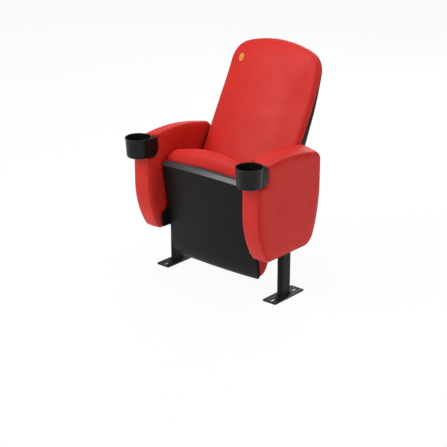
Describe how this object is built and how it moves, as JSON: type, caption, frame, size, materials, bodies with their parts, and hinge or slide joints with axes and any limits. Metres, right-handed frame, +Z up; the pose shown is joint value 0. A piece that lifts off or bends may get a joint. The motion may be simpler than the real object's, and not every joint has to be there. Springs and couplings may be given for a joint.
{
  "type": "tip up auditorium seat",
  "caption": "Floor-fixed auditorium seat that tips up by itself, with a high padded back, padded arms on posts and cup holders at the arm fronts.",
  "frame": {"origin": "on the floor, under the middle of the overall width and depth", "axes": "+X to the sitter's left, -Y to the front, +Z up"},
  "size_m": [0.69, 0.6396, 0.9485],
  "materials": {
    "steel": "black powder coat, fine texture",
    "bare_steel": "zinc plated",
    "moulding": "black satin moulding with a fine grain",
    "bush": "natural nylon",
    "sleeve": "black rubber over steel",
    "upholstery": "red leatherette over foam",
    "timber": "plywood",
    "plate": "amber, bare"
  },
  "bodies": {
    "base": {"left_foot_plate": "steel", "right_foot_plate": "steel", "left_post": "steel", "right_post": "steel", "left_arm_core": "timber", "right_arm_core": "timber", "left_arm_upholstery": "upholstery", "right_arm_upholstery": "upholstery", "left_cup_holder": "moulding", "right_cup_holder": "moulding", "left_cup_mount": "moulding", "right_cup_mount": "moulding", "left_back_bracket": "steel", "right_back_bracket": "steel", "left_pivot_housing": "moulding", "right_pivot_housing": "moulding", "left_pivot_bush": "bush", "right_pivot_bush": "bush", "left_stop_stud": "sleeve", "right_stop_stud": "sleeve", "back_cushion": "upholstery", "back_board": "timber", "back_shell": "moulding", "seat_number_plate": "plate"},
    "seat": {"left_hinge_plate": "bare_steel", "right_hinge_plate": "bare_steel", "left_pivot_pin": "bare_steel", "right_pivot_pin": "bare_steel", "left_spring_barrel": "bare_steel", "right_spring_barrel": "bare_steel", "seat_cushion": "upholstery", "seat_shell": "moulding", "seat_board": "timber", "cross_bar": "bare_steel"}
  },
  "joints": [
    {"name": "seat_tip", "type": "hinge", "parent": "base", "child": "seat", "pos_m": [0, -0.11588, 0.30006], "axis": [1, 0, 0], "range_deg": [0, 72], "stiffness_Nm_per_rad": 8, "springref_deg": -11.46}
  ]
}
